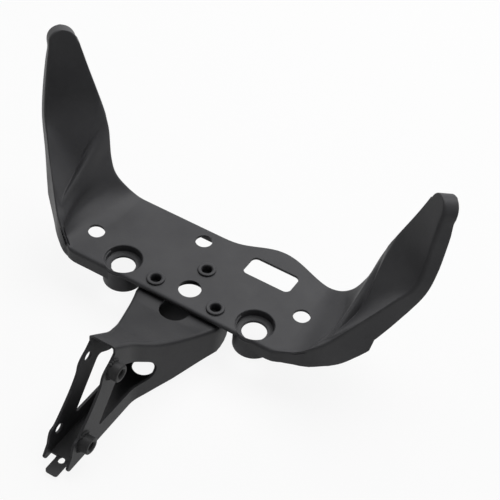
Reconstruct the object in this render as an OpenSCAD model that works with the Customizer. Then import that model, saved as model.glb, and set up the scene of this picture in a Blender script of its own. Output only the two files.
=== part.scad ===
// Fairing stay of a motorcycle: one pressed upper stay with two swept arms,
// carried on a pressed stem bracket by three flanged bushes.
// X runs across the motorcycle, Y to its rear, Z up from the plate's top face.
// The origin is on the axis of the plate's centre hole.

/* [Sheets] */
// Thickness of the upper stay's sheet
stay_t = 2.3; // [1.6:0.1:3]
// Thickness of the stem bracket's sheet
stem_t = 2; // [1.5:0.1:2.6]
// Radius outside the bends of the front and outer flanges
bend_r = 4; // [3.2:0.1:5]

/* [Plate] */
// Distance from the centre hole to the plate's front edge
front_edge = 19.3; // [19:0.5:24]
// Distance from the centre hole to the plate's rear edge
rear_edge = 66.8; // [62:0.5:76]
// Half width of the flat part of the plate
root_x = 86.8; // [84:0.5:96]
// Depth of the front flange at the left
flange_left = 12.5; // [8:0.5:18]
// Depth of the front flange at the right
flange_right = 12; // [8:0.5:18]
// Depth of the rear flange
flange_rear = 11; // [6:0.5:16]
// Height of the swell in the rear edge behind the slot
swell_h = 14.7; // [8:0.5:18]
// Place of the swell across the plate
swell_x = 42; // [36:1:46]
// Diameter of the centre hole
centre_hole_d = 18.8; // [12:0.2:20]
// Diameter of the small holes
small_hole_d = 14.2; // [8:0.2:16]
// Width of the slot across the plate
slot_w = 44; // [30:1:46]
// Height of the slot
slot_h = 21; // [12:0.5:22]
// Radius of the slot's corners
slot_r = 5; // [2:0.5:6]
// Place of the slot's middle, across and to the rear
slot_at = [45.3, 51.4]; // [40:0.5:52]

/* [Damper cups] */
// Distance of each cup from the centre line
cup_x = 62.8; // [60:0.5:66]
// Place of the cups in front of the centre hole
cup_y = -2.9; // [-4:0.1:-2]
// Diameter of a cup's mouth
cup_d = 31.2; // [28:0.2:32]
// Diameter of the hole in a cup's floor
cup_hole_d = 20.5; // [14:0.5:23]
// Depth of a cup
cup_depth = 7.2; // [5:0.2:9]
// Depth of the skirt round the front of a cup
skirt_depth = 22; // [16:0.5:26]

/* [Arms] */
// Half span of the arms at their outer bends
arm_span = 173.3; // [160:0.5:190]
// Height at which the arms' rounded ends begin
arm_height = 138; // [110:1:160]
// Depth of the flange round an arm's end
tip_flange = 12; // [8:0.5:14]
// Depth of the lip on an arm's inner edge
lip_depth = 4; // [3:0.5:8]

/* [Stem bracket] */
// Distance between the outer faces of the stem's side walls
stem_w = 23; // [20:0.5:30]
// Half width of the stem bracket under the plate
saddle_w = 39; // [37:0.5:41]
// Distance from the centre hole forward to the stem's neck
neck_y = 118; // [112:0.5:124]
// Height of the neck above the plate
neck_z = 47.5; // [38:0.5:54]
// Gap between the plate and the bracket under it
seat_gap = 3.4; // [2:0.2:5]
// Depth of the side walls below the plate's top face
wall_low = 35.6; // [30:0.2:40]
// Distance from the centre hole forward to the walls' lower tips
tip_y = 177.5; // [172:0.5:184]
// Half width of the opening between the bush seats
throat_r = 12.4; // [9:0.2:13]
// Distance from the centre hole back to the floor's rear edge
floor_rear = 12; // [4:0.5:18]
// Radius of the round hole in the stem's floor
floor_hole_r = 9.3; // [6:0.1:9.5]
// Distance from the centre hole forward to that hole
floor_hole_y = 63.8; // [61:0.2:67]
// Width of the locating tongue
tongue_w = 10.6; // [8:0.2:12]
// Length of the tongue in front of the floor
tongue_l = 15; // [10:0.5:20]
// Diameter of the hole at the tongue's root
tongue_hole_d = 5.4; // [3:0.2:6]

/* [Fasteners] */
// Distance of each front bush from the centre line
bush_x = 28.4; // [26:0.2:30]
// Place of the front bushes
bush_y = -6.6; // [-8:0.1:-5]
// Place of the rear bush
rear_bush_y = 25.3; // [23:0.1:27]
// Diameter of a bush's flange
bush_flange_d = 15.2; // [14:0.2:16]
// Height of a bush's flange
bush_flange_h = 1.7; // [1.2:0.1:2.4]
// Outer diameter of a bush's sleeve
bush_d = 11; // [10.2:0.1:12]
// Bore of a bush
bush_bore = 8.4; // [6.4:0.1:8.6]
// Diameter of the sleeve's end, flared out under the bracket
flare_d = 14; // [12.5:0.1:15]
// Clearance round a sleeve in its hole
fit_gap = 0.1; // [0.05:0.05:0.3]
// Outer diameter of a weld nut
nut_d = 14; // [12:0.2:15]
// Length of a weld nut
nut_l = 8.5; // [5:0.5:9]
// Bore of a weld nut, at the crests of an M8 thread
nut_bore = 6.8; // [5:0.1:7]
// Bolt hole in the stem's side walls
bolt_hole_d = 8.4; // [6.5:0.1:9]
// Upper bolt, in front of the neck and below its top
bolt_upper = [4.2, 19.5]; // [2:0.1:24]
// Lower bolt, behind the walls' tips and above their lower edges
bolt_lower = [18.3, 18.3]; // [12:0.1:24]

/* [Hidden] */
eps = 0.01;
coat = [0.15, 0.15, 0.16];
coat_shade = [0.11, 0.11, 0.12];
// Slices between two knots of an arm's curves, and in its rounded end
arm_steps = 3;
tip_steps = 6;
tip_end = 89.7;
small_left = [-99.2, 10.4];
small_right = [88.7, 26];
small_rear = [-20.3, 52.4];
cup_wall_r = cup_d/2 - 1.6;
cup_foot_r = cup_wall_r - 1.2;
skirt_back = 3;
skirt_r = cup_d/2 + 1.2;
seat_z = -stay_t - seat_gap;
half_stem = stem_w/2;
floor_top = -wall_low + stem_t + 0.4;
floor_front = -tip_y + 7.5;
tongue_x = 1.2;
// Where the side walls begin to spread, where they reach the saddle's width,
// and the front end of the opening between the bush seats
spread_y = -97;
saddle_y = -17;
throat_y = -22;
// Step in the saddle's rear edge beside the rear bush
saddle_step = [6, 4];
upper_at = [-neck_y - bolt_upper[0], neck_z - bolt_upper[1]];
lower_at = [-tip_y + bolt_lower[0], -wall_low + bolt_lower[1]];
flare_h = 1.2;

function unit(v) = v/norm(v);
function mix(a, b, t) = a + (b - a)*t;
function spline4(a, b, c, d, t) =
    0.5*(2*b + (c - a)*t + (2*a - 5*b + 4*c - d)*t*t + (3*b - a - 3*c + d)*t*t*t);
// Point on the smooth curve through a list of knots
function along(pts, u) =
    let (n = len(pts) - 1, k = max(0, min(floor(u), n - 1)))
    spline4(pts[max(k - 1, 0)], pts[k], pts[k + 1], pts[min(k + 2, n)], u - k);
// Rounded corner at b between the legs towards a and c
function corner(a, b, c, r, n) =
    let (p = b + unit(a - b)*min(r, 0.45*norm(a - b)),
         q = b + unit(c - b)*min(r, 0.45*norm(c - b)))
    [for (i = [0:n]) let (t = i/n) p*(1 - t)*(1 - t) + b*2*t*(1 - t) + q*t*t];

// Normal of a grid of points at one of them
function grid_normal(g, i, j) =
    let (m = len(g) - 1, n = len(g[0]) - 1,
         du = g[min(i + 1, m)][j] - g[max(i - 1, 0)][j],
         dv = g[i][min(j + 1, n)] - g[i][max(j - 1, 0)])
    unit(cross(du, dv));

// Closed sheet of thickness t on the back of a grid of points
module sheet(g, t) {
    m = len(g) - 1;
    n = len(g[0]) - 1;
    w = n + 1;
    front = [for (i = [0:m], j = [0:n]) g[i][j]];
    back = [for (i = [0:m], j = [0:n]) g[i][j] + grid_normal(g, i, j)*t];
    o = (m + 1)*w;
    faces = concat(
        [for (i = [0:m-1], j = [0:n-1], k = [0, 1])
            k == 0 ? [i*w + j, (i + 1)*w + j, (i + 1)*w + j + 1]
                   : [i*w + j, (i + 1)*w + j + 1, i*w + j + 1]],
        [for (i = [0:m-1], j = [0:n-1], k = [0, 1])
            k == 0 ? [o + i*w + j, o + (i + 1)*w + j + 1, o + (i + 1)*w + j]
                   : [o + i*w + j, o + i*w + j + 1, o + (i + 1)*w + j + 1]],
        [for (j = [0:n-1], i = [0, m], k = [0, 1])
            let (a = i*w + j, b = i*w + j + 1)
            i == 0 ? (k == 0 ? [a, b, o + b] : [a, o + b, o + a])
                   : (k == 0 ? [a, o + b, b] : [a, o + a, o + b])],
        [for (i = [0:m-1], j = [0, n], k = [0, 1])
            let (a = i*w + j, b = (i + 1)*w + j)
            j == 0 ? (k == 0 ? [a, o + b, b] : [a, o + a, o + b])
                   : (k == 0 ? [a, b, o + b] : [a, o + b, o + a])]);
    polyhedron(points = concat(front, back), faces = faces, convexity = 8);
}

// Rear edge of the plate: straight, with a rounded swell behind the slot
function swell(x) =
    let (run = x < swell_x ? swell_left : swell_right, s = min(1, abs(x - swell_x)/run))
    swell_h*(1 + cos(180*s))/2;
function rear_y(x) = rear_edge + swell(x);

// Knots of an arm's curves, in hundredths of the arm's box:
// from root_x to arm_span, from the front edge to the rear one, up to arm_height.
// Each curve starts at the plate and ends where the rounded tip begins.
rear_knots = [[12, 100, 0], [21, 98.5, 4], [30, 94.5, 11], [36.5, 94, 17],
    [43, 99.5, 26.5], [47.5, 103.5, 39], [51.5, 104, 48], [54.5, 103.5, 54],
    [72, 103, 81], [80.5, 102, 96]];
ridge_knots = [[35.5, 13, 12.5], [41.5, 18, 15.5], [47.5, 25, 19.5], [55.5, 57.5, 25],
    [55, 79.5, 40.5], [53, 97, 51], [72, 100.5, 81], [80.5, 100, 96]];
outer_start_right = [[10.5, 4, 1.5], [20, 5, 4.5], [30.5, 7, 9.5]];
outer_start_left = [[20, 0, 0], [26.5, 2.7, 5.3], [31.5, 4.5, 10]];
fold_right = [[24, 12, 0], [31, 11.5, 4.5], [33.5, 11, 9]];
fold_left = [[27, 10, 0], [31, 9.5, 4], [33.5, 9.5, 8.5]];
outer_knots = [[40.5, 9, 15], [51, 18.5, 20], [68.5, 36, 32.5], [84.5, 52.5, 44],
    [97.5, 66.5, 55], [99.5, 75, 81], [100, 81, 96.5]];
low_start_right = [[10.5, 3, -7.6], [21, 4.5, -5.6], [32.5, 6, -3.8]];
low_start_left = [[18, 0, -9], [25, 1.5, -8], [32, 3, -6]];
low_knots = [[44, 10.5, -1.5], [59, 25.5, -1.5], [76.5, 40, 8]];
// Above its step the flange is shallower
high_knots = [[78, 41.5, 16], [92, 58, 30], [106.8, 74, 50.2], [109.8, 86.5, 81],
    [108, 92.5, 96.5]];
flange_step = 6;
last_knot = 10;
lip_r = 3;
ridge_r = 5;
swell_left = 44;
swell_right = 54;
swell_steps = 20;

function place(p) =
    [root_x + p.x*(arm_span - root_x)/100,
     -front_edge + p.y*(rear_edge + front_edge)/100,
     p.z*arm_height/100];
function flange_depth(right) = right ? flange_right : flange_left;
function rear_curve(right, u) =
    let (s = right ? 1 : -1)
    along(concat([[root_x, rear_y(s*root_x), 0]], [for (p = rear_knots) place(p)]), u);
function outer_curve(right, u) =
    along([for (p = concat([[0, 0, 0]], right ? outer_start_right : outer_start_left,
        outer_knots)) place(p)], u);
function ridge_curve(right, u) =
    let (foot = mix(outer_curve(right, 0), rear_curve(right, 0), 0.1))
    along(concat([foot], [for (p = concat(right ? fold_right : fold_left, ridge_knots))
        place(p)]), u);
function flange_curve(right, u) =
    u <= flange_step
    ? along(concat([[root_x, -front_edge, -flange_depth(right)]],
        [for (p = concat(right ? low_start_right : low_start_left, low_knots)) place(p)]), u)
    : along([for (p = high_knots) place(p)], u - flange_step);

// Points between a and b
function between(a, b, n) = [for (i = [1:n]) mix(a, b, i/(n + 1))];
// One slice across an arm: lip, rear wall, ridge, panel, outer bend, flange
function arm_slice(e, f, g, h, lip) =
    let (d = e + lip, low = corner(d, e, f, lip_r, 2),
         mid = corner(e, f, g, ridge_r, 2), high = corner(f, g, h, bend_r, 3))
    concat([d], low, between(low[2], mid[0], 3), mid, between(mid[2], high[0], 1),
        high, between(high[3], h, 1), [h]);
function level(p) = [p.x, p.y, max(p.z, 0)];
function arm_row(right, u) =
    let (e = level(rear_curve(right, u)), f = level(ridge_curve(right, u)),
         g = level(outer_curve(right, u)), h = flange_curve(right, u),
         back = unit(cross(g - e, rear_curve(right, u + 0.01) - rear_curve(right, u))),
         grow = max(0, u - 8)/2,
         foot = max(0, 1 - u/1.4),
         lip = -back*mix(mix(lip_depth, tip_flange, grow), flange_rear, foot))
    arm_slice(e, f, g, h, lip);
// Rounded end: the panel's edges close along a half circle
function tip_row(right, s) =
    let (f0 = ridge_curve(right, last_knot), g0 = outer_curve(right, last_knot),
         c = (f0 + g0)/2, a = (g0 - f0)/2,
         below = (ridge_curve(right, last_knot - 1) + outer_curve(right, last_knot - 1))/2,
         up = unit(c - below)*norm(a),
         lip = unit(cross(up, a))*tip_flange,
         f = c - a*cos(s) + up*sin(s), g = c + a*cos(s) + up*sin(s))
    arm_slice(f + lip*0.15, f, g, g + lip, lip*0.85);
function arm_grid(right) = concat(
    [for (k = [0:last_knot-1], i = [0:arm_steps-1])
        arm_row(right, k + (k == flange_step && i == 1 ? 0.15 : i/arm_steps))],
    [arm_row(right, last_knot - eps)],
    [for (i = [1:tip_steps]) tip_row(right, tip_end*i/tip_steps)]);

// Slices across the plate, from the left arm's foot to the right one's
function plate_row(x) =
    let (e = [x, rear_y(x), 0], g = [x, -front_edge, 0])
    arm_slice(e, mix(g, e, 0.1), g, g - [0, 0, flange_depth(x > 0)], [0, 0, -flange_rear]);
plate_x = concat([-0.67*root_x, -0.33*root_x],
    [for (i = [0:swell_steps-1]) mix(swell_x - swell_left, root_x, i/swell_steps)]);

// The whole pressing, from the left arm's end to the right one's
function flipped(g) =
    [for (i = [len(g)-1:-1:0]) [for (p = g[i]) [-p.x, p.y, p.z]]];
stay_grid = concat(flipped(arm_grid(false)), [for (x = plate_x) plate_row(x)],
    arm_grid(true));

// The front flange stops at the cups, where their skirts take over
module flange_gap() {
    translate([-cup_x, -front_edge - 1, -flange_left - flange_right])
        cube([2*cup_x, stay_t + 4, flange_left + flange_right - stay_t - 0.7]);
}

// Drawn cup round a damper, with a deep skirt at its front
module cup() {
    floor_r = cup_hole_d/2;
    rotate_extrude($fn = 64) {
        translate([floor_r, -cup_depth - stay_t]) square([cup_wall_r - floor_r, stay_t]);
        polygon([[cup_foot_r, -cup_depth], [cup_d/2, 0], [cup_d/2 + 1, -eps],
            [cup_d/2 + 1, -stay_t], [cup_wall_r + 1, -cup_depth - stay_t],
            [cup_foot_r, -cup_depth - stay_t]]);
    }
    translate([0, 0, -skirt_depth]) linear_extrude(skirt_depth - eps) intersection() {
        difference() {
            circle(skirt_r, $fn = 64);
            circle(skirt_r - stay_t, $fn = 64);
        }
        translate([-2*skirt_r, -2*skirt_r]) square([4*skirt_r, 2*skirt_r + skirt_back]);
    }
}

module cup_mouth() {
    translate([0, 0, -cup_depth - 2*stay_t])
        cylinder(d = cup_hole_d, h = cup_depth + 3*stay_t, $fn = 64);
    translate([0, 0, -cup_depth])
        cylinder(r1 = cup_foot_r, r2 = cup_d/2, h = cup_depth, $fn = 64);
    cylinder(d = cup_d, h = stay_t, $fn = 64);
}

module slot() {
    linear_extrude(4*stay_t) {
        square([slot_w, slot_h - 2*slot_r], center = true);
        square([slot_w - 2*slot_r, slot_h], center = true);
        for (sx = [-1, 1], sy = [-1, 1])
            translate([sx*(slot_w/2 - slot_r), sy*(slot_h/2 - slot_r)]) circle(slot_r, $fn = 48);
    }
}

module stay_hole(at, d) {
    translate([at.x, at.y, -2*stay_t]) cylinder(d = d, h = 4*stay_t, $fn = 64);
}

bush_places = [[-bush_x, bush_y], [bush_x, bush_y], [0, rear_bush_y]];

module upper_stay() {
    color(coat) difference() {
        union() {
            difference() {
                sheet(stay_grid, stay_t);
                flange_gap();
                for (s = [-1, 1]) translate([s*cup_x, cup_y, -2*stay_t])
                    cylinder(d = cup_d, h = 4*stay_t, $fn = 64);
            }
            for (s = [-1, 1]) translate([s*cup_x, cup_y, 0]) cup();
        }
        for (s = [-1, 1]) translate([s*cup_x, cup_y, 0]) cup_mouth();
        stay_hole([0, 0], centre_hole_d);
        for (p = bush_places) stay_hole(p, bush_d + 2*fit_gap);
        for (p = [small_left, small_right, small_rear]) stay_hole(p, small_hole_d);
        translate([slot_at.x, slot_at.y, -2*stay_t]) slot();
    }
}

// The bracket's channel widens from the stem to the saddle under the plate.
// Each row gives Y, the share of the widening and the share of the neck's rise.
channel_knots = [[-tip_y - 2.5, 0, 1.87], [-neck_y, 0, 1], [spread_y, 0, 0.7], [-86, 0.13, 0.54],
    [-73, 0.29, 0.36], [-60, 0.46, 0.24], [-48, 0.61, 0.15], [-36, 0.76, 0.07],
    [-26, 0.89, 0.02], [saddle_y, 1, 0], [0, 1, 0]];
channel_steps = 2;
corner_r = 4.5;
window_r = 4;
function channel_row(u) =
    let (k = along(channel_knots, u),
         x = half_stem + (saddle_w - half_stem)*max(0, min(1, k[1])),
         z = seat_z + (neck_z - seat_z)*max(k[2], 0),
         low = -wall_low - 6,
         a = [-x, k[0], low], b = [-x, k[0], z], c = [x, k[0], z], d = [x, k[0], low])
    concat([a], corner(a, b, c, corner_r, 4), [mix(b, c, 0.5)],
        corner(b, c, d, corner_r, 4), [d]);
channel_grid = [for (i = [0:(len(channel_knots) - 1)*channel_steps])
    channel_row(i/channel_steps)];

// Outline of the side walls, seen from the side
module wall_side() {
    low = -wall_low;
    polygon([[2, neck_z*2], [-neck_y, neck_z*2], [-neck_y, neck_z - 7],
        [-neck_y - 5, neck_z - 11.5], [-neck_y - 11, neck_z - 15.5],
        [-neck_y - 15, neck_z - 20], [-neck_y - 18, neck_z - 28],
        [-neck_y - 27, neck_z - 40], [-tip_y + 16, -9], [-tip_y + 9.5, -12],
        [-tip_y + 7, -17], [-tip_y + 5.5, -23], [-tip_y, low + 4],
        [-tip_y + 0.4, low + 1.6], [-tip_y + 2.5, low], [-60, low - 0.6],
        [-26, low + 2], [-13, low + 2.8], [-7.5, low + 5], [-4, low + 9],
        [-3, low + 14], [-3, seat_z - 3], [2, seat_z - 3]]);
}

// Triangular window through both side walls
module wall_window() {
    offset(r = window_r) polygon([[-neck_y + 9, neck_z - 32.5], [-neck_y + 21, neck_z - 41],
        [-81, -5], [-77.5, -12], [-80, -wall_low + 19.1], [-96, -wall_low + 18],
        [-tip_y + 45.5, -wall_low + 19]]);
}

// Top of the saddle behind the side walls, out to the rear bush
module saddle_rear() {
    r = bush_flange_d/2 + 1.5;
    side = saddle_w - corner_r;
    translate([0, 0, seat_z - stem_t]) linear_extrude(stem_t) {
        polygon([[-side, 0], [side, 0], [side - saddle_step.x, saddle_step.y],
            [r, rear_bush_y + 2], [-r, rear_bush_y + 2],
            [-side + saddle_step.x, saddle_step.y]]);
        translate([0, rear_bush_y]) circle(r + 0.4, $fn = 48);
    }
}

// Floor between the side walls
module stem_floor() {
    x = half_stem - stem_t/2;
    far = saddle_w - stem_t/2;
    wide_y = saddle_y + 3;
    end = far - 8;
    translate([0, 0, floor_top - stem_t]) difference() {
        linear_extrude(stem_t) polygon([[-x, floor_front], [x, floor_front], [x, spread_y],
            [far, saddle_y], [far, wide_y], [end, floor_rear], [-end, floor_rear],
            [-far, wide_y], [-far, saddle_y], [-x, spread_y]]);
        translate([0, -floor_hole_y, -stem_t]) cylinder(r = floor_hole_r, h = 3*stem_t, $fn = 64);
    }
}

// Locating tongue with rounded corners, joggled down from the floor
module tongue() {
    r = 2;
    end = floor_front - tongue_l;
    drop = 0.7*stem_t;
    translate([tongue_x, 0, floor_top - stem_t - drop]) linear_extrude(stem_t) {
        translate([-tongue_w/2, end + r]) square([tongue_w, tongue_l + 6 - r]);
        translate([-tongue_w/2 + r, end]) square([tongue_w - 2*r, 2*r]);
        for (s = [-1, 1]) translate([s*(tongue_w/2 - r), end + r]) circle(r, $fn = 32);
    }
}

// Hole through both side walls; its place is seen from the side
module bolt_hole(at) {
    translate([-saddle_w, at.x, at.y]) rotate([0, 90, 0])
        cylinder(d = bolt_hole_d, h = 2*saddle_w, $fn = 48);
}

// Outline seen from the side, drawn through both walls
module across() {
    translate([-saddle_w - 1, 0, 0]) rotate([90, 0, 90]) linear_extrude(2*saddle_w + 2) children();
}

module stem_bracket() {
    color(coat_shade) difference() {
        union() {
            difference() {
                intersection() {
                    sheet(channel_grid, stem_t);
                    across() wall_side();
                }
                across() wall_window();
            }
            saddle_rear();
            stem_floor();
            tongue();
        }
        translate([0, 0, seat_z - 3*stem_t]) linear_extrude(6*stem_t) {
            translate([-throat_r, throat_y]) square([2*throat_r, -throat_y]);
            circle(throat_r, $fn = 64);
            translate([0, throat_y]) circle(throat_r, $fn = 64);
        }
        for (p = bush_places) translate([p.x, p.y, seat_z - 2*stem_t])
            cylinder(d = bush_d + 2*fit_gap, h = 4*stem_t, $fn = 48);
        bolt_hole(upper_at);
        bolt_hole(lower_at);
        translate([tongue_x, floor_front - 1.5, floor_top - 3*stem_t])
            cylinder(d = tongue_hole_d, h = 4*stem_t, $fn = 32);
    }
}

// Flanged bush that holds plate and bracket together, flared at its lower end
module bush(at) {
    low = seat_z - stem_t;
    color(coat_shade) translate([at.x, at.y, 0]) difference() {
        union() {
            cylinder(d = bush_flange_d, h = bush_flange_h, $fn = 64);
            translate([0, 0, low - eps]) cylinder(d = bush_d, h = 2*eps - low, $fn = 64);
            translate([0, 0, low - flare_h]) cylinder(d = flare_d, h = flare_h, $fn = 64);
        }
        translate([0, 0, low - 2*flare_h])
            cylinder(d = bush_bore, h = 2*bush_flange_h + 2*flare_h - low, $fn = 64);
    }
}

// Ring between the plate and the bracket, round a bush
module spacer(at) {
    color(coat_shade) translate([at.x, at.y, seat_z]) difference() {
        cylinder(d = bush_flange_d - 1, h = seat_gap, $fn = 64);
        translate([0, 0, -1]) cylinder(d = bush_d + 2*fit_gap, h = seat_gap + 2, $fn = 64);
    }
}

// Round weld nut on the outside of the right wall
module weld_nut(at) {
    color(coat_shade) translate([half_stem, at.x, at.y]) rotate([0, 90, 0]) difference() {
        cylinder(d = nut_d, h = nut_l, $fn = 64);
        translate([0, 0, -1]) cylinder(d = nut_bore, h = nut_l + 2, $fn = 48);
    }
}

upper_stay();
stem_bracket();
bush(bush_places[0]);  // bush_left
bush(bush_places[1]);  // bush_right
bush(bush_places[2]);  // bush_rear
spacer(bush_places[0]);  // spacer_left
spacer(bush_places[1]);  // spacer_right
spacer(bush_places[2]);  // spacer_rear
weld_nut(upper_at);  // weld_nut_upper
weld_nut(lower_at);  // weld_nut_lower
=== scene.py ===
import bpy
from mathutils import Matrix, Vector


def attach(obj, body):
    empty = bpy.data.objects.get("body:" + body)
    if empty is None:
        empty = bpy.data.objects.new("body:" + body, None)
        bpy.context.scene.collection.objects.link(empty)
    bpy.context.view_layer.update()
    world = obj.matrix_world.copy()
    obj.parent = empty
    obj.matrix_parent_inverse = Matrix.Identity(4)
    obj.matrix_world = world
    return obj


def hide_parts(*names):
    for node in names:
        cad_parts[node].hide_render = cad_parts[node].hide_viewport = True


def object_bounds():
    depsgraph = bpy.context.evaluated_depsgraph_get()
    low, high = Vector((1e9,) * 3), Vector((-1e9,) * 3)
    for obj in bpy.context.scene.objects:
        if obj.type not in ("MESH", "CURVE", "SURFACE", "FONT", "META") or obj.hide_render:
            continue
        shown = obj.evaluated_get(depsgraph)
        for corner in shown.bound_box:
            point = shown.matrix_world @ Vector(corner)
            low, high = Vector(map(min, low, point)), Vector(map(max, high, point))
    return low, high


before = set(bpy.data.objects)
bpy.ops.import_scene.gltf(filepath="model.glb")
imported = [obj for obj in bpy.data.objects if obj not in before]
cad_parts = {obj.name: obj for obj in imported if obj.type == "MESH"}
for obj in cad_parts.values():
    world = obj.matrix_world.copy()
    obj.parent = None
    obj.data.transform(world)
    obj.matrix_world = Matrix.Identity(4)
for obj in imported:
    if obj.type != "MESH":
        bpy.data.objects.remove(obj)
cadBox = [[float(c) for c in corner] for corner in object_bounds()]

import math
import bmesh
import bpy
from mathutils import Matrix, Vector

mm = 0.001
scene = bpy.context.scene


# curves
def mix(a, b, t):
    return a + (b - a) * t


def smoothStep(t):
    t = min(1.0, max(0.0, t))
    return t * t * (3 - 2 * t)


# passes through b at t = 0 and c at t = 1
def spline(a, b, c, d, t):
    bend = 2 * a - 5 * b + 4 * c - d
    twist = 3 * b - a - 3 * c + d
    return 0.5 * (2 * b + (c - a) * t + bend * t * t + twist * t * t * t)


def along(pts, u):
    n = len(pts) - 1
    k = max(0, min(int(math.floor(u)), n - 1))
    return spline(pts[max(k - 1, 0)], pts[k], pts[k + 1], pts[min(k + 2, n)], u - k)


def cornerArc(a, b, c, r, n):
    toA, toC = a - b, c - b
    p = b + toA.normalized() * min(r, 0.45 * toA.length)
    q = b + toC.normalized() * min(r, 0.45 * toC.length)
    return [p * (1 - t) ** 2 + b * 2 * t * (1 - t) + q * t * t for t in (i / n for i in range(n + 1))]


def between(a, b, n):
    return [mix(a, b, i / (n + 1)) for i in range(1, n + 1)]


def smoothRun(pts, times):
    for _ in range(times):
        inner = [(pts[i - 1] + 2 * pts[i] + pts[i + 1]) / 4 for i in range(1, len(pts) - 1)]
        pts = [pts[0]] + inner + [pts[-1]]
    return pts


def roundedPath(points, r, n):
    path = []
    for i, p in enumerate(points):
        a, b, c = Vector(points[i - 1]), Vector(p), Vector(points[(i + 1) % len(points)])
        path += cornerArc(a, b, c, r, n)
    return path


# n + 1 points from one angle to another, in degrees
def arcPoints(r, centre, start, stop, n):
    turns = [math.radians(mix(start, stop, i / n)) for i in range(n + 1)]
    return [(centre[0] + r * math.cos(a), centre[1] + r * math.sin(a)) for a in turns]


# mesh helpers
def meshObject(name, bm):
    bmesh.ops.remove_doubles(bm, verts=bm.verts, dist=1e-6)
    bmesh.ops.recalc_face_normals(bm, faces=bm.faces)
    mesh = bpy.data.meshes.new(name)
    bm.to_mesh(mesh)
    bm.free()
    obj = bpy.data.objects.new(name, mesh)
    scene.collection.objects.link(obj)
    return obj


def gridFaces(bm, rows, flip=False, closed=False):
    n = len(rows[0])
    for i in range(len(rows) - 1):
        for j in range(n if closed else n - 1):
            k = (j + 1) % n
            quad = [rows[i][j], rows[i][k], rows[i + 1][k], rows[i + 1][j]]
            quad = [v for m, v in enumerate(quad) if v not in quad[:m]]
            if len(quad) > 2:
                bm.faces.new(quad[::-1] if flip else quad)


# grid in millimetres; the sheet grows to the side of row step x column step
def sheetBody(bm, grid, thick, capEnds=True, backShift=None):
    m, n = len(grid) - 1, len(grid[0]) - 1
    front = [[bm.verts.new(p * mm) for p in row] for row in grid]
    back = []
    for i in range(m + 1):
        row = []
        for j in range(n + 1):
            if backShift and i in backShift:
                normal = backShift[i]
            else:
                du = grid[min(i + 1, m)][j] - grid[max(i - 1, 0)][j]
                dv = grid[i][min(j + 1, n)] - grid[i][max(j - 1, 0)]
                normal = du.cross(dv).normalized()
            row.append(bm.verts.new((grid[i][j] + normal * thick) * mm))
        back.append(row)
    gridFaces(bm, front)
    gridFaces(bm, back, flip=True)
    rims = [[sheet[i][j] for i in range(m + 1)] for j in (0, n) for sheet in (front, back)]
    gridFaces(bm, [rims[0], rims[1]])
    gridFaces(bm, [rims[3], rims[2]])
    if capEnds:
        gridFaces(bm, [front[0], back[0]], flip=True)
        gridFaces(bm, [front[m], back[m]])
    # where the ends close on themselves the rims' last stretch isn't bevelled
    edges = []
    for rim in rims:
        stretch = rim if capEnds else rim[1:-1]
        for a, b in zip(stretch, stretch[1:]):
            edge = bm.edges.get((a, b))
            if edge:
                edges.append(edge)
    return edges


# profile of (radius, height) in millimetres, turned round the axis
def lathe(bm, profile, centre, segments=96, axis="Z", start=0.0, stop=360.0):
    a, turn = math.radians(start), math.radians(stop - start)
    full = stop - start > 359.9
    if axis == "Z":
        out, axle = Vector((math.cos(a), math.sin(a), 0)), Vector((0, 0, 1))
    else:
        out, axle = Vector((0, math.cos(a), math.sin(a))), Vector((1, 0, 0))
    ring = [bm.verts.new((centre + out * r + axle * h) * mm) for r, h in profile]
    edges = [bm.edges.new((ring[k - 1], ring[k])) for k in range(len(ring))]
    spun = bmesh.ops.spin(bm, geom=ring + edges, cent=centre * mm, axis=axle, angle=turn,
                          steps=segments, use_merge=full)
    if not full:
        bm.faces.new(ring)
        last = [g for g in spun["geom_last"] if isinstance(g, bmesh.types.BMEdge)]
        bmesh.ops.contextual_create(bm, geom=last)


# a point of an outline, at a height along the axis
def onAxis(p, h, axis):
    return Vector((p[0], p[1], h)) if axis == "Z" else Vector((h, p[0], p[1]))


# outline in millimetres; on axis X its pairs are Y and Z
def prism(name, outline, low, high, axis="Z"):
    bm = bmesh.new()
    face = bm.faces.new([bm.verts.new(onAxis(p, low, axis) * mm) for p in outline])
    grown = bmesh.ops.extrude_face_region(bm, geom=[face])
    top = [g for g in grown["geom"] if isinstance(g, bmesh.types.BMVert)]
    bmesh.ops.translate(bm, verts=top, vec=onAxis((0, 0), high - low, axis) * mm)
    return meshObject(name, bm)


def drum(name, r, centre, low, high, axis="Z", segments=96):
    bm = bmesh.new()
    bmesh.ops.create_cone(bm, cap_ends=True, segments=segments, radius1=r * mm, radius2=r * mm,
                          depth=(high - low) * mm)
    if axis == "X":
        turn = Matrix.Rotation(math.pi / 2, 3, "Y")
        bmesh.ops.rotate(bm, verts=bm.verts, cent=(0, 0, 0), matrix=turn)
    bmesh.ops.translate(bm, verts=bm.verts, vec=onAxis(centre, (low + high) / 2, axis) * mm)
    return meshObject(name, bm)


def removePiece(obj):
    mesh = obj.data
    bpy.data.objects.remove(obj)
    bpy.data.meshes.remove(mesh)


def applyMods(obj):
    graph = bpy.context.evaluated_depsgraph_get()
    mesh = bpy.data.meshes.new_from_object(obj.evaluated_get(graph))
    old = obj.data
    obj.modifiers.clear()
    obj.data = mesh
    bpy.data.meshes.remove(old)


def boolean(obj, cutters, operation="DIFFERENCE"):
    for cutter in cutters:
        mod = obj.modifiers.new("cut", "BOOLEAN")
        mod.operation = operation
        mod.solver = "MANIFOLD"
        mod.object = cutter
    before = len(obj.data.polygons)
    applyMods(obj)
    print(obj.name, operation.lower(), before, "->", len(obj.data.polygons))
    for cutter in cutters:
        removePiece(cutter)


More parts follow.
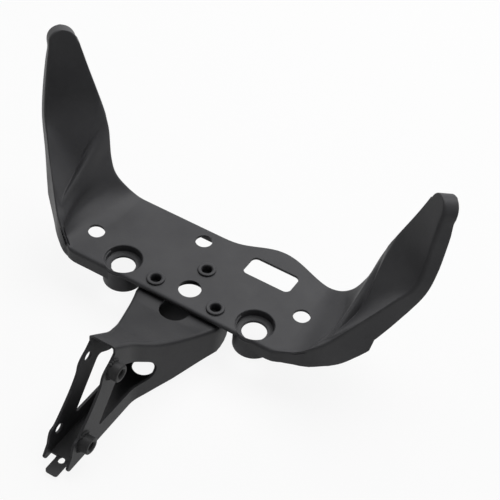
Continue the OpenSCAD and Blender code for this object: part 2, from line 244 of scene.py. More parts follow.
def joinInto(obj, others):
    bm = bmesh.new()
    bm.from_mesh(obj.data)
    for other in others:
        bm.from_mesh(other.data)
        removePiece(other)
    bm.to_mesh(obj.data)
    bm.free()


def bevelEdges(bm, edges, width):
    bmesh.ops.bevel(bm, geom=edges, offset=width * mm, offset_type="OFFSET", segments=2, profile=0.5,
                    affect="EDGES", clamp_overlap=True)


def bevelWhere(obj, test, width):
    bm = bmesh.new()
    bm.from_mesh(obj.data)
    bmesh.ops.remove_doubles(bm, verts=bm.verts, dist=2e-6)
    edges = [e for e in bm.edges if len(e.link_faces) == 2 and test(e)]
    if edges:
        bevelEdges(bm, edges, width)
    bm.to_mesh(obj.data)
    bm.free()
    return len(edges)


def shade(obj, angle):
    mesh = obj.data
    mesh.shade_smooth()
    bm = bmesh.new()
    bm.from_mesh(mesh)
    limit = math.radians(angle)
    for e in bm.edges:
        e.smooth = len(e.link_faces) != 2 or e.calc_face_angle(0) < limit
    bm.to_mesh(mesh)
    bm.free()
    mod = obj.modifiers.new("normals", "WEIGHTED_NORMAL")
    mod.keep_sharp = True
    mod.weight = 60


# upper stay, sizes in millimetres; its top face is at height 0
stay = {
    "thick": 2.3, "front": 19.3, "rear": 66.8, "root": 86.8, "span": 173.3, "height": 138.0,
    "flangeLeft": 12.5, "flangeRight": 12.0, "flangeRear": 11.0, "edgeDrop": 2.9,
    "swellX": 42.0, "swellHigh": 14.7, "swellLeft": 44.0, "swellRight": 54.0,
    "lipR": 3.0, "ridgeR": 1.5, "bendR": 3.0, "lip": 4.0, "tipFlange": 12.0,
    "bow": 7.0, "bowFull": 12.0, "ridgeShare": 0.1, "tipShare": 0.05, "lipTuck": 0.15,
    "steps": 7, "tipSteps": 12, "plateSteps": 44, "wallSteps": 9, "panelSteps": 7, "flangeSteps": 11,
    "smooth": (5, 2, 1), "foot": (0.3, 4.9), "footSmooth": 30, "tabKnot": 6, "lastKnot": 10, "tabStep": 0.07,
    "rimEdge": 0.4, "holeEdge": 0.35, "smoothAngle": 38,
}
# knots along an arm: percent of the reach out from the root, of the depth, and of the height
curves = {
    "rear": [(12, 100, 0), (21, 98.5, 4), (30, 94.5, 11), (36.5, 94, 17), (43, 99.5, 26.5),
             (47.5, 103.5, 39), (51.5, 104, 48), (54.5, 103.5, 54), (72, 103, 81), (80.5, 102, 96)],
    "foldRight": [(24, 12, 0), (31, 11.5, 4.5), (33.5, 11, 9)],
    "foldLeft": [(30, 10, 0), (33.2, 9.5, 4), (34.8, 9.8, 8.8)],
    "ridge": [(35.5, 13, 12.5), (41.5, 18, 15.5), (47.5, 25, 19.5), (55.5, 57.5, 25), (55, 79.5, 40.5),
              (53, 97, 51), (72, 100.5, 81)],
    "outerRight": [(10.5, 4, 1.5), (20, 5, 4.5), (30.5, 7, 9.5)],
    "outerLeft": [(20, 0, 0), (26.5, 2.7, 5.3), (31.5, 4.5, 10)],
    "outer": [(40.5, 9, 15), (51, 18.5, 20), (68.5, 36, 32.5), (84.5, 52.5, 44), (97.5, 66.5, 55),
              (99.5, 75, 81), (100, 81, 96.5)],
    "lowRight": [(10.5, 3, -7.6), (21, 4.5, -5.6), (32.5, 6, -3.8)],
    "lowLeft": [(18, 0, -9), (25, 1.5, -8), (32, 3, -6)],
    "low": [(44, 10.5, -1.5), (59, 25.5, -1.5), (76.5, 40, 8)],
    "high": [(78, 41.5, 16), (92, 58, 30), (106.8, 74, 50.2), (109.8, 86.5, 81), (108, 92.5, 96.5)],
}
# the knot where each change along an arm starts, and the run over which it comes in
changes = {"lip": (0.0, 1.4), "hollowEnd": (3.0, 3.0), "ridgeToRear": (7.7, 0.6), "tipFlange": (9.3, 0.7),
           "tipLip": (9.4, 0.6)}
cups = {"x": 62.8, "y": -2.9, "mouth": 15.6, "roll": 1.1, "foot": 12.8, "floor": 10.25, "depth": 7.2,
        "bend": 1.2, "edge": 0.35, "draft": 0.6, "lap": 0.1,
        "skirtR": 16.8, "skirtDeep": 22.0, "skirtTop": 0.9, "skirtArc": (168, 372)}
holes = {
    "centre": ((0.0, 0.0), 9.4),
    "smallLeft": ((-99.2, 10.4), 7.1),
    "smallRight": ((88.7, 26.0), 7.1),
    "smallRear": ((-20.3, 52.4), 7.1),
}
slotCut = {"at": (45.3, 51.4), "w": 44.0, "h": 21.0, "r": 5.0}
plateCut = {"reach": 6, "gapReach": 30, "gapFront": 2, "gapRear": 6}  # reach past its faces and front edge


def place(p):
    return Vector((stay["root"] + p[0] * (stay["span"] - stay["root"]) / 100,
                   -stay["front"] + p[1] * (stay["rear"] + stay["front"]) / 100,
                   p[2] * stay["height"] / 100))


def change(name, u):
    start, run = changes[name]
    return smoothStep((u - start) / run)


def rearY(x):
    run = stay["swellLeft"] if x < stay["swellX"] else stay["swellRight"]
    s = min(1.0, abs(x - stay["swellX"]) / run)
    return stay["rear"] + stay["swellHigh"] * (1 + math.cos(math.pi * s)) / 2


# rows of knot place, rear edge, ridge, outer bend, flange edge, and 1 before the tab or 2 after it
def armCurves(right):
    root, side = stay["root"], "Right" if right else "Left"
    steps, tab = stay["steps"], stay["tabKnot"]
    rear = [Vector((root, rearY(root if right else -root), 0))] + [place(p) for p in curves["rear"]]
    outer = [place(p) for p in [(0, 0, 0)] + curves["outer" + side] + curves["outer"]]
    fold = [place(p) for p in curves["fold" + side] + curves["ridge"]]
    ridge = [mix(outer[0], rear[0], stay["ridgeShare"])] + fold
    flange = [Vector((root, -stay["front"], -stay["flange" + side]))]
    low = flange + [place(p) for p in curves["low" + side] + curves["low"]]
    high = [place(p) for p in curves["high"]]

    def armRow(u, edge, part):
        return [u, along(rear, u), along(ridge, u), along(outer, u), edge, part]

    rows = []
    for i in range(steps * stay["lastKnot"] + 1):
        u = i / steps
        rows.append(armRow(u, along(low, u), 1) if u <= tab else armRow(u, along(high, u - tab), 2))
        if i == tab * steps:
            rows.append(armRow(tab + stay["tabStep"], along(high, stay["tabStep"]), 2))
    for row in rows:
        for c in (1, 2, 3):
            row[c].z = max(0.0, row[c].z)
    return rows


def mirrored(row):
    return [row[0]] + [Vector((-v.x, v.y, v.z)) for v in row[1:5]] + [row[5]]


def plateRows():
    rows = []
    root, half = stay["root"], stay["plateSteps"] // 2
    for i in range(1, stay["plateSteps"]):
        x = root * (i - half) / half
        e, g = Vector((x, rearY(x), 0)), Vector((x, -stay["front"], 0))
        share = smoothStep(0.5 + x / (2 * cups["x"]))
        drop = Vector((0, 0, mix(stay["flangeLeft"], stay["flangeRight"], share)))
        rows.append([-1, e, mix(g, e, stay["ridgeShare"]), g, g - drop, 1])
    return rows


# hollow sinks and bows the inner wall away from the plate
def staySlice(e, f, g, h, lip, hollow=0.0):
    d = e + lip
    low = cornerArc(d, e, f, stay["lipR"], 4)
    mid = cornerArc(e, f, g, stay["ridgeR"], 6)
    high = cornerArc(f, g, h, stay["bendR"], 6)
    wall = between(low[-1], mid[0], stay["wallSteps"])
    for k, v in enumerate(wall):
        t = 1 - (k + 1) / (stay["wallSteps"] + 1)
        v.z -= (low[-1].z - mid[0].z) * t * (1 - t) * hollow
        v.x += math.copysign(4 * t * (1 - t) * stay["bow"] * hollow, e.x) * smoothStep(e.z / stay["bowFull"])
    panel = between(mid[-1], high[0], stay["panelSteps"])
    flange = between(high[-1], h, stay["flangeSteps"])
    return [d] + low + wall + mid + panel + high + flange + [h]


# each arm ends in a half-round turn over its own middle; returns the grid and the end rows' sheet side
def addTips(grid, f, g):
    shifts = {}
    step, last, turns = stay["steps"], len(f) - 1, stay["tipSteps"]
    for atEnd in (False, True):
        i = last if atEnd else 0
        k = i - step if atEnd else step
        c, a = (f[i] + g[i]) / 2, (g[i] - f[i]) / 2
        up = (c - (f[k] + g[k]) / 2).normalized()
        lip = (up.cross(a) if atEnd else a.cross(up)).normalized() * stay["tipFlange"]
        ring = []
        for s in range(1, turns + 1):
            t = math.pi / 2 * s / turns
            over = up * a.length * math.sin(t)
            ff, gg = c - a * math.cos(t) + over, c + a * math.cos(t) + over
            tuck = stay["lipTuck"]
            ring.append(staySlice(ff + lip * tuck, ff, gg, gg + lip, lip * (1 - tuck)))
        end = ring[-1]
        n = len(end)
        for j in range(n // 2):
            end[n - 1 - j] = end[j].copy()
        if atEnd:
            grid = grid + ring
            shifts[len(grid) - 1] = -up
        else:
            grid = ring[::-1] + grid
            shifts[0] = -up
    return grid, shifts


def stayGrid():
    left = [mirrored(r) for r in armCurves(False)][::-1]
    rows = left + plateRows() + armCurves(True)
    e, f, g = [smoothRun([r[c] for r in rows], n) for c, n in zip((1, 2, 3), stay["smooth"])]
    h = [r[4] for r in rows]
    # the arm's foot leaves the plate in a soft hollow
    half = len(rows) // 2
    for low, high in ((0, half), (half, len(rows))):
        foot = [i for i in range(low, high) if stay["foot"][0] <= rows[i][0] <= stay["foot"][1]]
        a, b = foot[0], foot[-1] + 1
        e[a:b] = smoothRun(e[a:b], stay["footSmooth"])
        f[a:b] = smoothRun(f[a:b], stay["footSmooth"])
    # the flange edge keeps its sharp step at the tab
    cuts = [0] + [i + 1 for i in range(len(rows) - 1) if rows[i][5] != rows[i + 1][5]] + [len(rows)]
    for a, b in zip(cuts, cuts[1:]):
        if b - a > 2:
            h[a:b] = smoothRun(h[a:b], 1)
    grid = []
    last = len(rows) - 1
    for i, row in enumerate(rows):
        u = max(0.0, row[0])
        # above the inner wall's end the ridge keeps close to the rear edge
        f[i] = mix(f[i], mix(e[i], g[i], stay["tipShare"]), change("ridgeToRear", u))
        turn = e[min(i + 1, last)] - e[max(i - 1, 0)]
        back = (g[i] - e[i]).cross(turn).normalized()
        depth = mix(stay["flangeRear"], stay["lip"], change("lip", u))
        depth = mix(depth, stay["tipFlange"], change("tipLip", u))
        h[i] = mix(h[i], g[i] - back * stay["tipFlange"], change("tipFlange", u))
        grid.append(staySlice(e[i], f[i], g[i], h[i], -back * depth, 1 - change("hollowEnd", u)))
    return addTips(grid, f, g)


def cupProfile():
    r, roll, t = cups["mouth"], cups["roll"], stay["thick"]
    foot, hole, bend, edge, draft = cups["foot"], cups["floor"], cups["bend"], cups["edge"], cups["draft"]
    outer, bottom = r + roll, -cups["depth"]
    profile = [(outer, 0.0), (outer - 0.15, 0.0)]
    for k in range(1, 7):
        a = math.pi / 2 * k / 6
        profile.append((r - cups["lap"] + roll * (1 - math.sin(a)), -roll * (1 - math.cos(a))))
    for k in range(6):
        a = math.pi / 2 * k / 5
        slope = (r - foot - draft) * (1 - k / 5)
        profile.append((foot - bend + bend * math.cos(a) + slope, bottom + bend * (1 - math.sin(a))))
    profile += [(hole + edge, bottom), (hole, bottom - edge), (hole, bottom - t + edge)]
    profile += [(hole + edge, bottom - t), (foot + 0.5, bottom - t), (foot + t, bottom - t + 1.4)]
    return profile + [(r + t - draft, -t - bend), (outer, -t)]


def skirtProfile():
    r, t, deep = cups["skirtR"], stay["thick"], cups["skirtDeep"]
    big, small = 0.5, 0.15  # the lower edges are rounded in two steps
    outside = [(r, -cups["skirtTop"]), (r, -deep + big), (r - small, -deep + small), (r - big, -deep)]
    inside = [(r - t + big, -deep), (r - t + small, -deep + small), (r - t, -deep + big), (r - t, -2.2)]
    return outside + inside


def slotOutline():
    (x, y), r = slotCut["at"], slotCut["r"]
    w, h = slotCut["w"] / 2 - r, slotCut["h"] / 2 - r
    outline = []
    for cx, cy, start in ((x + w, y + h, 0), (x - w, y + h, 90), (x - w, y - h, 180), (x + w, y - h, 270)):
        outline += arcPoints(r, (cx, cy), start, start + 90, 12)
    return outline


# level edges of the plate's open holes and slot
def onHoleRim(e):
    zs = [v.co.z for v in e.verts]
    onFace = min(abs(zs[0]), abs(zs[0] + stay["thick"] * mm)) <= 2e-5
    if abs(zs[0] - zs[1]) > 1e-5 or not onFace or e.calc_face_angle(0) < 1.2:
        return False
    mid = (e.verts[0].co + e.verts[1].co) / 2 / mm
    near = 0.2
    if any(abs(math.hypot(mid.x - at[0], mid.y - at[1]) - r) < near for at, r in holes.values()):
        return True
    x, y = slotCut["at"]
    return abs(mid.x - x) < slotCut["w"] / 2 + near and abs(mid.y - y) < slotCut["h"] / 2 + near


def makeStay():
    grid, shifts = stayGrid()
    bm = bmesh.new()
    rims = sheetBody(bm, grid, stay["thick"], capEnds=False, backShift=shifts)
    bevelEdges(bm, rims, stay["rimEdge"])
    bmesh.ops.remove_doubles(bm, verts=bm.verts, dist=1e-6)
    print("stay sheet", len(bm.faces), "open edges", sum(1 for edge in bm.edges if not edge.is_manifold))
    obj = meshObject("stayPressing", bm)
    x, reach = cups["x"], plateCut["reach"]
    front, rear = -stay["front"] - plateCut["gapFront"], -stay["front"] + plateCut["gapRear"]
    gap = [(-x, front), (x, front), (x, rear), (-x, rear)]
    cutters = [prism("flangeGap", gap, -plateCut["gapReach"], -stay["edgeDrop"])]
    for s in (-1, 1):
        cutters.append(drum("cupCut", cups["mouth"] + cups["roll"], (s * x, cups["y"]), -reach, reach))
    for name, (at, r) in holes.items():
        cutters.append(drum(name + "Cut", r, at, -reach, reach))
    for name, at in bushes.items():
        cutters.append(drum("bushCut" + name, bushForm["hole"], at, -reach, reach, segments=64))
    cutters.append(prism("slotCut", slotOutline(), -reach, reach))
    boolean(obj, cutters)
    print("stay hole rims", bevelWhere(obj, onHoleRim, stay["holeEdge"]))
    bm = bmesh.new()
    start, stop = cups["skirtArc"]
    for s in (-1, 1):
        centre = Vector((s * x, cups["y"], 0))
        lathe(bm, cupProfile(), centre)
        lathe(bm, skirtProfile(), centre, segments=72, start=start, stop=stop)
    joinInto(obj, [meshObject("cups", bm)])
    shade(obj, stay["smoothAngle"])
    return obj


# stem bracket, sizes in millimetres
stem = {
    "thick": 2.0, "seat": -5.7, "half": 11.5, "saddle": 39.0, "neckY": 118.0, "neckZ": 47.5, "low": 35.6,
    "tipY": 177.5, "throat": 12.4, "throatLong": 22.0, "throatLow": -12, "throatHigh": -2,
    "cornerR": 3.8, "steps": 8, "smooth": 10, "dish": 1.5, "dishFront": (-118, 16), "dishRear": (-24, 10),
    "windowR": 5.5, "boltR": 4.2, "edge": 0.35, "edgeAngle": 50, "smoothAngle": 45, "reach": 60,
}
channelKnots = [  # place along the stem, share of the saddle's width, share of the rise
    (-182, 0, 1.9), (-118, 0, 1), (-97, 0, 0.7), (-86, 0.13, 0.54), (-73, 0.29, 0.36), (-60, 0.46, 0.24),
    (-48, 0.61, 0.15), (-36, 0.76, 0.07), (-26, 0.89, 0.02), (-17, 1, 0), (0, 1, 0),
]
saddleTop = {"inset": 6.0, "neckY": 4.0, "lobeR": 9.1, "lobeAt": (0.4, 25.3), "lobeY": 27.0}
stemFloor = {"above": 0.4, "front": 7.5, "narrowY": -97, "wideY": -17, "rearY": -14, "endY": 12, "endIn": 8,
             "holeR": 9.3, "holeAt": (0, -63.8), "cutLow": -60, "cutHigh": -20}
tongueForm = {"x": 1.2, "half": 5.3, "long": 15.0, "corner": 2.2, "drop": 1.4, "dropRun": 4.0, "rows": 40,
              "columns": 8, "pinR": 2.7, "pinBack": 1.5, "lap": 0.01}


def channelGrid():
    knots = [Vector(k) for k in channelKnots]
    steps = stem["steps"]
    rows = [along(knots, i / steps) for i in range((len(knots) - 1) * steps + 1)]
    low = -stem["low"] - 6
    webSteps = 9
    grid = []
    for y, share, rise in smoothRun(rows, stem["smooth"]):
        x = mix(stem["half"], stem["saddle"], min(1, max(0, share)))
        z = mix(stem["seat"], stem["neckZ"], max(rise, 0))
        a, b, c, d = Vector((-x, y, low)), Vector((-x, y, z)), Vector((x, y, z)), Vector((x, y, low))
        left, right = cornerArc(a, b, c, stem["cornerR"], 7), cornerArc(b, c, d, stem["cornerR"], 7)
        # the web is dished a little between its two bends
        web = between(left[-1], right[0], webSteps)
        (frontY, frontRun), (rearEnd, rearRun) = stem["dishFront"], stem["dishRear"]
        sink = stem["dish"] * smoothStep((y - frontY) / frontRun) * smoothStep((rearEnd - y) / rearRun)
        for k, v in enumerate(web):
            v.z -= sink * (1 - (2 * (k + 1) / (webSteps + 1) - 1) ** 4)
        grid.append([a] + between(a, left[0], 5) + left + web + right + between(right[-1], d, 5) + [d])
    return grid


# the stem seen from its side, as pairs of Y and Z
def sideOutline():
    low, ny, nz, ty, seat = -stem["low"], stem["neckY"], stem["neckZ"], stem["tipY"], stem["seat"]
    top = [(2, nz * 2), (-ny, nz * 2)]
    nose = [(-ny, nz - 7), (-ny - 5, nz - 11.5), (-ny - 11, nz - 15.5), (-ny - 15, nz - 20),
            (-ny - 18, nz - 28), (-ny - 27, nz - 40), (-ty + 16, -9), (-ty + 9.5, -12), (-ty + 7, -17),
            (-ty + 5.5, -23)]
    end = [(-ty, low + 4), (-ty + 0.4, low + 1.6), (-ty + 2.5, low), (-60, low - 0.6), (-26, low + 2),
           (-13, low + 2.8), (-7.5, low + 5), (-4, low + 9), (-3, low + 14), (-3, seat - 3), (2, seat - 3)]
    curve = [Vector(p) for p in nose]
    fine = [along(curve, i / 5) for i in range((len(curve) - 1) * 5 + 1)]
    return top + fine + end


def windowOutline():
    ny, nz, ty, low = stem["neckY"], stem["neckZ"], stem["tipY"], -stem["low"]
    pts = [(-ny + 8.5, nz - 28), (-ny + 22.5, nz - 37.4), (-78.5, -2.5), (-73.6, -11.5),
           (-77.5, low + 15.2), (-97, low + 14), (-ty + 37, low + 15.4), (-ty + 49.5, -4.2)]
    return roundedPath(pts, stem["windowR"], 7)


def throatCutter():
    r = stem["throat"]
    outline = arcPoints(r, (0, 0), 0, 180, 36) + arcPoints(r, (0, -stem["throatLong"]), 180, 360, 36)
    return prism("throatCut", outline, stem["throatLow"], stem["throatHigh"])


def makeSaddle():
    side, seat = stem["saddle"] - stem["cornerR"], stem["seat"]
    r, neckX = saddleTop["lobeR"], side - saddleTop["inset"]
    outline = [(-side, 0), (side, 0), (neckX, saddleTop["neckY"]), (r, saddleTop["lobeY"])]
    outline += arcPoints(r, saddleTop["lobeAt"], 10, 170, 20)
    outline += [(-r, saddleTop["lobeY"]), (-neckX, saddleTop["neckY"])]
    saddle = prism("saddle", outline, seat - stem["thick"], seat)
    boolean(saddle, [throatCutter()])
    return saddle


def pinCutter(front):
    f, s = tongueForm, stemFloor
    return drum("pinCut", f["pinR"], (f["x"], front - f["pinBack"]), s["cutLow"], s["cutHigh"])


def makeFloor(top, front):
    f, t = stemFloor, stem["thick"]
    x, far = stem["half"] - t / 2, stem["saddle"] - t / 2
    right = [(x, front), (x, f["narrowY"]), (far, f["wideY"]), (far, f["rearY"]),
             (far - f["endIn"], f["endY"])]
    plan = [(-x, front)] + right + [(-px, py) for px, py in right[:0:-1]]
    floor = prism("floor", plan, top - t, top)
    boolean(floor, [drum("floorCut", f["holeR"], f["holeAt"], f["cutLow"], f["cutHigh"]), pinCutter(front)])
    return floor


# the tongue steps down from the floor's front edge and ends in rounded corners
def makeTongue(top, front):
    f = tongueForm
    last, end = f["rows"] - 1, front - f["long"]
    shares = [2 * k / f["columns"] - 1 for k in range(f["columns"] + 1)]
    rows = []
    for i in range(f["rows"]):
        y = front + f["lap"] - (f["long"] + f["lap"]) * i / last
        z = top - f["drop"] * smoothStep((front + f["pinBack"] - y) / f["dropRun"])
        toEnd = max(0.0, min(1.0, (y - end) / f["corner"]))
        half = f["half"] - f["corner"] * (1 - math.sqrt(max(0, 1 - (1 - toEnd) ** 2)))
        rows.append([Vector((f["x"] + half * share, y, z)) for share in shares])
    bm = bmesh.new()
    sheetBody(bm, rows[::-1], stem["thick"])
    tongue = meshObject("tongue", bm)
    boolean(tongue, [pinCutter(front)])
    return tongue


def makeStem():
    bm = bmesh.new()
    sheetBody(bm, channelGrid(), stem["thick"])
    obj = meshObject("stemPressing", bm)
    reach = stem["reach"]
    boolean(obj, [prism("sideCut", sideOutline(), -reach, reach, "X")], "INTERSECT")
    cutters = [prism("windowCut", windowOutline(), -reach, reach, "X"), throatCutter()]
    for name, at in nuts.items():
        cutters.append(drum("boltCut" + name, stem["boltR"], at, -40, 40, "X", 64))
    boolean(obj, cutters)
    top = -stem["low"] + stem["thick"] + stemFloor["above"]
    front = -stem["tipY"] + stemFloor["front"]
    joinInto(obj, [makeSaddle(), makeFloor(top, front), makeTongue(top, front)])
    mod = obj.modifiers.new("edges", "BEVEL")
    mod.limit_method = "ANGLE"
    mod.angle_limit = math.radians(stem["edgeAngle"])
    mod.width = stem["edge"] * mm
    mod.segments = 2
    mod.harden_normals = False
    applyMods(obj)
    shade(obj, stem["smoothAngle"])
    return obj


# fasteners, sizes in millimetres: bushes at X and Y, nuts at Y and Z
bushes = {"Left": (-28.4, -6.6), "Right": (28.4, -6.6), "Rear": (0.0, 25.3)}
bushForm = {"hole": 5.6, "flange": 7.6, "high": 1.7, "bore": 4.2, "sleeve": 5.5, "low": -10.7, "flare": 7.0,
            "threadDeep": 0.45}
nuts = {"Upper": (-122.2, 28.0), "Lower": (-159.2, -17.3)}
nutForm = {"r": 7.0, "long": 8.5, "bore": 3.4, "threadDeep": 0.5}
beadForm = {"arcs": ((25, 120), (205, 300)), "steps": 60, "sides": 12, "r": 1.3, "in": 0.1, "clear": 0.25,
            "lumps": (0.38, 34), "ripple": (0.16, 71)}
pitch = 1.25


# the ridges of a thread down a bore
def threadPoints(bore, deep, top, bottom):
    pts, z = [], top
    while z > bottom:
        pts += [(bore, z), (bore, z - 0.15), (bore + deep, z - 0.55), (bore + deep, z - 0.7)]
        z -= pitch
    return pts


def makeBush(name, at):
    f = bushForm
    bore, sleeve, flange, flare = f["bore"], f["sleeve"], f["flange"], f["flare"]
    low, high = f["low"], f["high"]
    pts = [(bore, low + 0.3), (bore + 0.3, low), (flare - 0.3, low), (flare, low + 0.4),
           (flare - 0.2, low + 1.15), (sleeve, low + 1.2), (sleeve, 0.0), (flange - 0.05, 0.02),
           (flange, 0.25), (flange, high - 0.75), (flange - 0.12, high - 0.35),
           (flange - 0.45, high - 0.06), (flange - 0.9, high), (bore + 1.35, high - 0.02),
           (bore + 0.75, high - 0.2), (bore + 0.3, high - 0.7), (bore + 0.05, high - 1.4)]
    pts += threadPoints(bore, f["threadDeep"], high - 2.2, low + 1.4)
    bm = bmesh.new()
    lathe(bm, pts, Vector((at[0], at[1], 0)), 64)
    obj = meshObject("bush" + name, bm)
    shade(obj, 50)
    return obj


def makeNut(name, at):
    r, bore, end = nutForm["r"], nutForm["bore"], nutForm["long"]
    pts = [(bore, 0.0), (r, 0.0), (r, end - 0.9), (r - 0.15, end - 0.45), (r - 0.8, end),
           (bore + 1.3, end), (bore + 1.05, end - 0.12), (bore + 0.5, end - 0.75)]
    pts += threadPoints(bore, nutForm["threadDeep"], end - 1.1, 0.9)
    bm = bmesh.new()
    lathe(bm, pts, Vector((stem["half"], at[0], at[1])), 64, "X")
    obj = meshObject("nut" + name, bm)
    shade(obj, 50)
    return obj


# two lumpy beads of weld round the foot of the nut
def makeWeld(name, at):
    f, steps, sides = beadForm, beadForm["steps"], beadForm["sides"]
    centre = Vector((stem["half"] + f["in"], at[0], at[1]))
    across = Vector((1, 0, 0))
    bm = bmesh.new()
    for start, stop in f["arcs"]:
        rows = []
        for k in range(steps + 1):
            t = k / steps
            a = math.radians(mix(start, stop, t))
            out = Vector((0, math.cos(a), math.sin(a)))
            swell = min(1.0, math.sin(math.pi * t) * 3) ** 0.5 if 0 < t < 1 else 0.05
            lumps = f["lumps"][0] * math.sin(t * f["lumps"][1] + at[0])
            r = (f["r"] + lumps + f["ripple"][0] * math.sin(t * f["ripple"][1])) * swell
            c = centre + out * (nutForm["r"] + f["clear"])
            turns = [2 * math.pi * q / sides for q in range(sides)]
            ring = [out * r * math.cos(b) + across * r * math.sin(b) for b in turns]
            rows.append([bm.verts.new((c + offset) * mm) for offset in ring])
        gridFaces(bm, rows, closed=True)
        bm.faces.new(rows[0])
        bm.faces.new(rows[-1][::-1])
    obj = meshObject("weld" + name, bm)
    shade(obj, 60)
    return obj


# materials: a dark and a light colour in broad patches, and how strong the grain is
coats = {
    "satinCoat": ((0.040, 0.040, 0.043), (0.053, 0.053, 0.056), 0.35),
    "stemCoat": ((0.025, 0.025, 0.027), (0.035, 0.035, 0.037), 0.40),
    "hardwareCoat": ((0.038, 0.038, 0.041), (0.054, 0.054, 0.057), 0.5),
    "nutCoat": ((0.014, 0.014, 0.015), (0.028, 0.028, 0.029), 0.9),
    "weldCoat": ((0.016, 0.016, 0.017), (0.048, 0.048, 0.050), 0.9),
}
coatGrain = {"patches": (28, 5), "specks": (1500, 2), "peel": (420, 1), "patchRange": (0.35, 0.68),
             "roughness": (0.40, 0.58), "speckHeight": 0.00006, "peelHeight": 0.00012, "gloss": 0.18}


def coatGroup():
    group = bpy.data.node_groups.new("coatGrain", "ShaderNodeTree")
    for name, kind, way in (("Dark", "Color", "INPUT"), ("Light", "Color", "INPUT"),
                            ("Grain", "Float", "INPUT"), ("Color", "Color", "OUTPUT"),
                            ("Roughness", "Float", "OUTPUT"), ("Normal", "Vector", "OUTPUT")):
        group.interface.new_socket(name=name, in_out=way, socket_type="NodeSocket" + kind)
    nodes, links = group.nodes, group.links
    inp, out = nodes.new("NodeGroupInput"), nodes.new("NodeGroupOutput")
    coord = nodes.new("ShaderNodeTexCoord")

    def noise(key):
        node = nodes.new("ShaderNodeTexNoise")
        node.inputs["Scale"].default_value, node.inputs["Detail"].default_value = coatGrain[key]
        links.new(coord.outputs["Object"], node.inputs["Vector"])
        return node.outputs["Fac"]

    def mapRange(value, side, limits):
        node = nodes.new("ShaderNodeMapRange")
        node.inputs[side + " Min"].default_value, node.inputs[side + " Max"].default_value = limits
        links.new(value, node.inputs["Value"])
        return node.outputs["Result"]

    def bump(height, distance):
        node = nodes.new("ShaderNodeBump")
        node.inputs["Distance"].default_value = distance
        links.new(inp.outputs["Grain"], node.inputs["Strength"])
        links.new(height, node.inputs["Height"])
        return node

    patches, specks, peel = noise("patches"), noise("specks"), noise("peel")
    blend = nodes.new("ShaderNodeMix")
    blend.data_type = "RGBA"
    links.new(mapRange(patches, "From", coatGrain["patchRange"]), blend.inputs["Factor"])
    links.new(inp.outputs["Dark"], blend.inputs["A"])
    links.new(inp.outputs["Light"], blend.inputs["B"])
    links.new(blend.outputs["Result"], out.inputs["Color"])
    links.new(mapRange(specks, "To", coatGrain["roughness"]), out.inputs["Roughness"])
    small, large = bump(specks, coatGrain["speckHeight"]), bump(peel, coatGrain["peelHeight"])
    links.new(small.outputs["Normal"], large.inputs["Normal"])
    links.new(large.outputs["Normal"], out.inputs["Normal"])
    return group


def coatMaterial(name, group):
    dark, light, grain = coats[name]
    mat = bpy.data.materials.new(name)
    mat.use_nodes = True
    nodes, links = mat.node_tree.nodes, mat.node_tree.links
    shader = nodes["Principled BSDF"]
    shader.inputs["Specular IOR Level"].default_value = coatGrain["gloss"]
    node = nodes.new("ShaderNodeGroup")
    node.node_tree = group
    node.inputs["Dark"].default_value = (*dark, 1)
    node.inputs["Light"].default_value = (*light, 1)
    node.inputs["Grain"].default_value = grain
    links.new(node.outputs["Color"], shader.inputs["Base Color"])
    links.new(node.outputs["Roughness"], shader.inputs["Roughness"])
    links.new(node.outputs["Normal"], shader.inputs["Normal"])
    return mat


def finishPiece(obj, mat, node=None):
    obj.data.materials.clear()
    obj.data.materials.append(mat)
    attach(obj, "root")
    if node:
        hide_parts(node)


coat = coatGroup()
mats = {name: coatMaterial(name, coat) for name in coats}
stayPiece = makeStay()
finishPiece(stayPiece, mats["satinCoat"], "upper_stay")
print("stay made", len(stayPiece.data.polygons))
stemPiece = makeStem()
finishPiece(stemPiece, mats["stemCoat"], "stem_bracket")
print("stem made", len(stemPiece.data.polygons))
for name, at in bushes.items():
    finishPiece(makeBush(name, at), mats["hardwareCoat"], "bush_" + name.lower())
for name, at in nuts.items():
    finishPiece(makeNut(name, at), mats["nutCoat"], "weld_nut_" + name.lower())
    finishPiece(makeWeld(name, at), mats["weldCoat"])
for name in ("spacer_left", "spacer_right", "spacer_rear"):
    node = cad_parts[name]
    node.data.materials.clear()
    node.data.materials.append(mats["hardwareCoat"])
print("fasteners made")

# floor, light and camera, in metres
studio = {"room": 0.04, "floorColour": (0.8, 0.8, 0.8, 1), "floorRough": 0.9, "floorSize": 3.0,
          "floorGap": 0.002, "floorWhite": 0.9}
lights = {  # place, target, width and length, watts
    "overhead": ((0.0, 0.7, 1.3), (0, 0, 0), (1.4, 1.2), 24),
    "front": ((0.5, -1.3, 0.6), (0, 0, 0.02), (0.8, 0.5), 0.4),
    "right": ((1.4, 0.1, 0.6), (0, 0, 0.05), (0.6, 0.9), 1.0),
}
view = {"at": (0.362182, -0.607649, 0.742586), "turn": (45.3995, -4.1443, 31.2480), "focalPixels": 1280,
        "imagePixels": 500, "sensor": 36, "nearest": 0.05}


# white to the camera, in gloss and through glass; below 1, whiteShare leaves some of the lit floor's shadow
def whiteWhereSeen(tree, lit, white, target, whiteShare):
    nodes, links = tree.nodes, tree.links
    ray = nodes.new("ShaderNodeLightPath")
    seen = ray.outputs["Is Camera Ray"]
    for way in ("Is Glossy Ray", "Is Transmission Ray"):
        either = nodes.new("ShaderNodeMath")
        either.operation = "MAXIMUM"
        links.new(seen, either.inputs[0])
        links.new(ray.outputs[way], either.inputs[1])
        seen = either.outputs["Value"]
    share = nodes.new("ShaderNodeMath")
    share.operation = "MULTIPLY"
    share.inputs[1].default_value = whiteShare
    links.new(seen, share.inputs[0])
    both = nodes.new("ShaderNodeMixShader")
    links.new(share.outputs["Value"], both.inputs["Fac"])
    links.new(lit, both.inputs[1])
    links.new(white, both.inputs[2])
    links.new(both.outputs["Shader"], target)


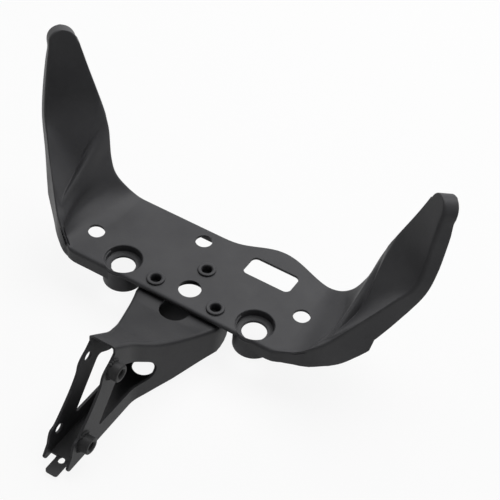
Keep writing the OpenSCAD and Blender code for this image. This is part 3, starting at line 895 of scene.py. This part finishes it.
def makeWorld():
    world = bpy.data.worlds.new("studio")
    scene.world = world
    world.use_nodes = True
    tree = world.node_tree
    tree.nodes.clear()
    room, sky = tree.nodes.new("ShaderNodeBackground"), tree.nodes.new("ShaderNodeBackground")
    room.inputs["Strength"].default_value = studio["room"]
    for node in (room, sky):
        node.inputs["Color"].default_value = (1, 1, 1, 1)
    surface = tree.nodes.new("ShaderNodeOutputWorld").inputs["Surface"]
    whiteWhereSeen(tree, room.outputs["Background"], sky.outputs["Background"], surface, 1.0)


def makeGround():
    mat = bpy.data.materials.new("paleFloor")
    mat.use_nodes = True
    tree = mat.node_tree
    pale, glow = tree.nodes["Principled BSDF"], tree.nodes.new("ShaderNodeEmission")
    pale.inputs["Base Color"].default_value = studio["floorColour"]
    pale.inputs["Roughness"].default_value = studio["floorRough"]
    surface = tree.nodes["Material Output"].inputs["Surface"]
    whiteWhereSeen(tree, pale.outputs["BSDF"], glow.outputs["Emission"], surface, studio["floorWhite"])
    bm = bmesh.new()
    bmesh.ops.create_grid(bm, x_segments=1, y_segments=1, size=studio["floorSize"])
    bmesh.ops.translate(bm, verts=bm.verts, vec=(0, 0, cadBox[0][2] - studio["floorGap"]))
    ground = meshObject("floor", bm)
    ground.data.materials.append(mat)


def softbox(name, at, target, size, power):
    light = bpy.data.lights.new(name, "AREA")
    light.shape = "RECTANGLE"
    light.size, light.size_y = size
    light.energy = power
    obj = bpy.data.objects.new(name, light)
    scene.collection.objects.link(obj)
    obj.location = at
    obj.rotation_euler = (Vector(target) - Vector(at)).to_track_quat("-Z", "Y").to_euler()


def makeCamera():
    camera = bpy.data.objects.new("camera", bpy.data.cameras.new("camera"))
    scene.collection.objects.link(camera)
    camera.data.sensor_width = view["sensor"]
    camera.data.lens = view["sensor"] * view["focalPixels"] / view["imagePixels"]
    camera.data.clip_start = view["nearest"]
    camera.location = view["at"]
    camera.rotation_euler = [math.radians(a) for a in view["turn"]]
    scene.camera = camera


makeWorld()
makeGround()
for name, values in lights.items():
    softbox(name, *values)
makeCamera()
scene.view_settings.view_transform = "Standard"
print("stage made")
